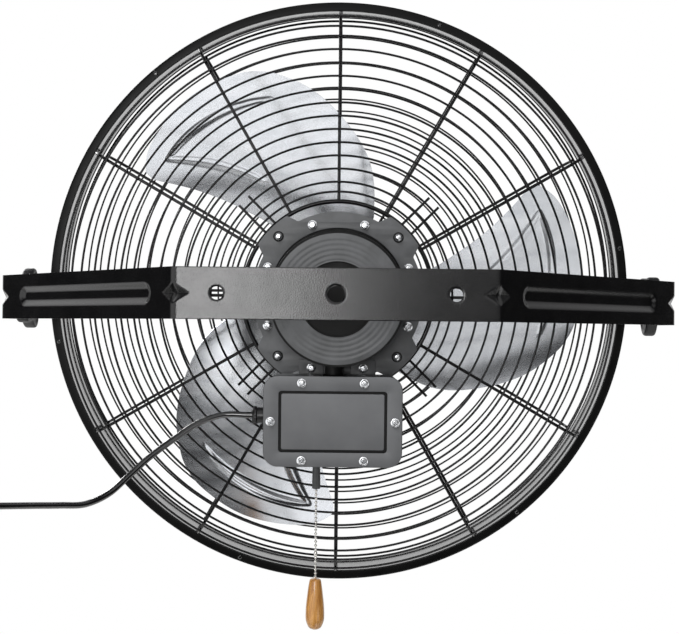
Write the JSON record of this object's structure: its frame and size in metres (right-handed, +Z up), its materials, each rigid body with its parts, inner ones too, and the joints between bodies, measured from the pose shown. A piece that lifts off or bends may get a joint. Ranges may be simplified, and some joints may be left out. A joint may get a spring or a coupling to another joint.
{
  "type": "wall mounted fan",
  "caption": "Caged wall fan with metal blades, tilting in a bent strip yoke with star knobs, with a motor, wiring box, cord and a pull chain with a wooden pull.",
  "frame": {"origin": "centre of the yoke's middle hole on the face that lies against the wall", "axes": "+Z up, +Y out of the wall and along the air flow, +X to the right for someone who looks at the wall side of the fan"},
  "size_m": [0.8456, 0.3874, 0.7206],
  "materials": {
    "yoke_paint": "dark charcoal powder coat, satin",
    "rim_paint": "black enamel, glossy",
    "guard_paint": "black coated steel wire, satin",
    "motor_paint": "grey enamel, satin",
    "box_paint": "mid grey enamel, satin",
    "black_metal": "black",
    "zinc": "zinc plated, bright",
    "steel": "turned steel",
    "aluminium": "mill finish sheet",
    "copper": "enamelled copper wire on a laminated core",
    "knob_plastic": "black moulded plastic",
    "switch_plastic": "grey plastic",
    "rubber": "black rubber, glossy on the cord",
    "wood": "varnished honey brown hardwood"
  },
  "bodies": {
    "bracket": {"yoke": "yoke_paint", "cord_coil": "rubber", "cord_tie": "knob_plastic", "power_plug": "rubber"},
    "head": {"pivot_bolt_left": "zinc", "pivot_bolt_right": "zinc", "pivot_nut_left": "zinc", "pivot_nut_right": "zinc", "stand_off_left": "yoke_paint", "stand_off_right": "yoke_paint", "rim_band": "rim_paint", "rear_guard": "guard_paint", "front_guard": "guard_paint", "motor_plate": "motor_paint", "plate_bolt_1": "zinc", "plate_bolt_2": "zinc", "plate_bolt_3": "zinc", "plate_bolt_4": "zinc", "plate_screw_1": "zinc", "plate_screw_2": "zinc", "plate_screw_3": "zinc", "plate_screw_4": "zinc", "plate_screw_5": "zinc", "plate_screw_6": "zinc", "plate_screw_7": "zinc", "plate_screw_8": "zinc", "motor_rear_can": "motor_paint", "motor_front_bell": "motor_paint", "rear_bearing_bracket": "black_metal", "rear_bearing": "steel", "front_bearing": "steel", "stator": "copper", "box_bracket": "motor_paint", "box_neck": "black_metal", "box_body": "box_paint", "box_gasket": "rubber", "box_cover": "box_paint", "cover_screw_1": "zinc", "cover_screw_2": "zinc", "cover_screw_3": "zinc", "cover_screw_4": "zinc", "cover_screw_5": "zinc", "cover_screw_6": "zinc", "gland_body": "knob_plastic", "gland_nut": "knob_plastic", "pull_switch": "switch_plastic", "switch_sleeve": "switch_plastic", "run_capacitor": "aluminium", "mains_cord": "rubber"},
    "fan": {"rotor": "steel", "motor_shaft": "steel", "blade_spider": "steel", "blade_1": "aluminium", "blade_2": "aluminium", "blade_3": "aluminium"},
    "knob_left": {"star_knob_left": "knob_plastic"},
    "knob_right": {"star_knob_right": "knob_plastic"},
    "plunger": {"switch_plunger": "steel"},
    "chain": {"pull_chain": "zinc"},
    "pull": {"wooden_pull": "wood"}
  },
  "joints": [
    {"name": "head_tilt", "type": "hinge", "parent": "bracket", "child": "head", "pos_m": [0, 0.304, 0], "axis": [1, 0, 0], "range_deg": [-34, 26], "deforming": ["mains_cord"]},
    {"name": "fan_spin", "type": "hinge", "parent": "head", "child": "fan", "pos_m": [0, 0.3033, 0.00998], "axis": [0, 0.9976, 0.0698], "continuous": true},
    {"name": "knob_left_turn", "type": "hinge", "parent": "head", "child": "knob_left", "pos_m": [-0.3777, 0.304, 0], "axis": [1, 0, 0], "continuous": true},
    {"name": "knob_right_turn", "type": "hinge", "parent": "head", "child": "knob_right", "pos_m": [0.3777, 0.304, 0], "axis": [1, 0, 0], "continuous": true},
    {"name": "switch_pull", "type": "slide", "parent": "head", "child": "plunger", "axis": [0, 0.0698, -0.9976], "range_m": [0, 0.012], "stiffness_N_per_m": 800, "springref_m": -0.01},
    {"name": "chain_swing", "type": "hinge", "parent": "plunger", "child": "chain", "pos_m": [-0.022, 0.19265, -0.2116], "axis": [1, 0, 0], "range_deg": [-45, 8]},
    {"name": "pull_swing", "type": "hinge", "parent": "chain", "child": "pull", "pos_m": [-0.022, 0.19265, -0.31255], "axis": [0, 1, 0], "range_deg": [-40, 40]}
  ]
}
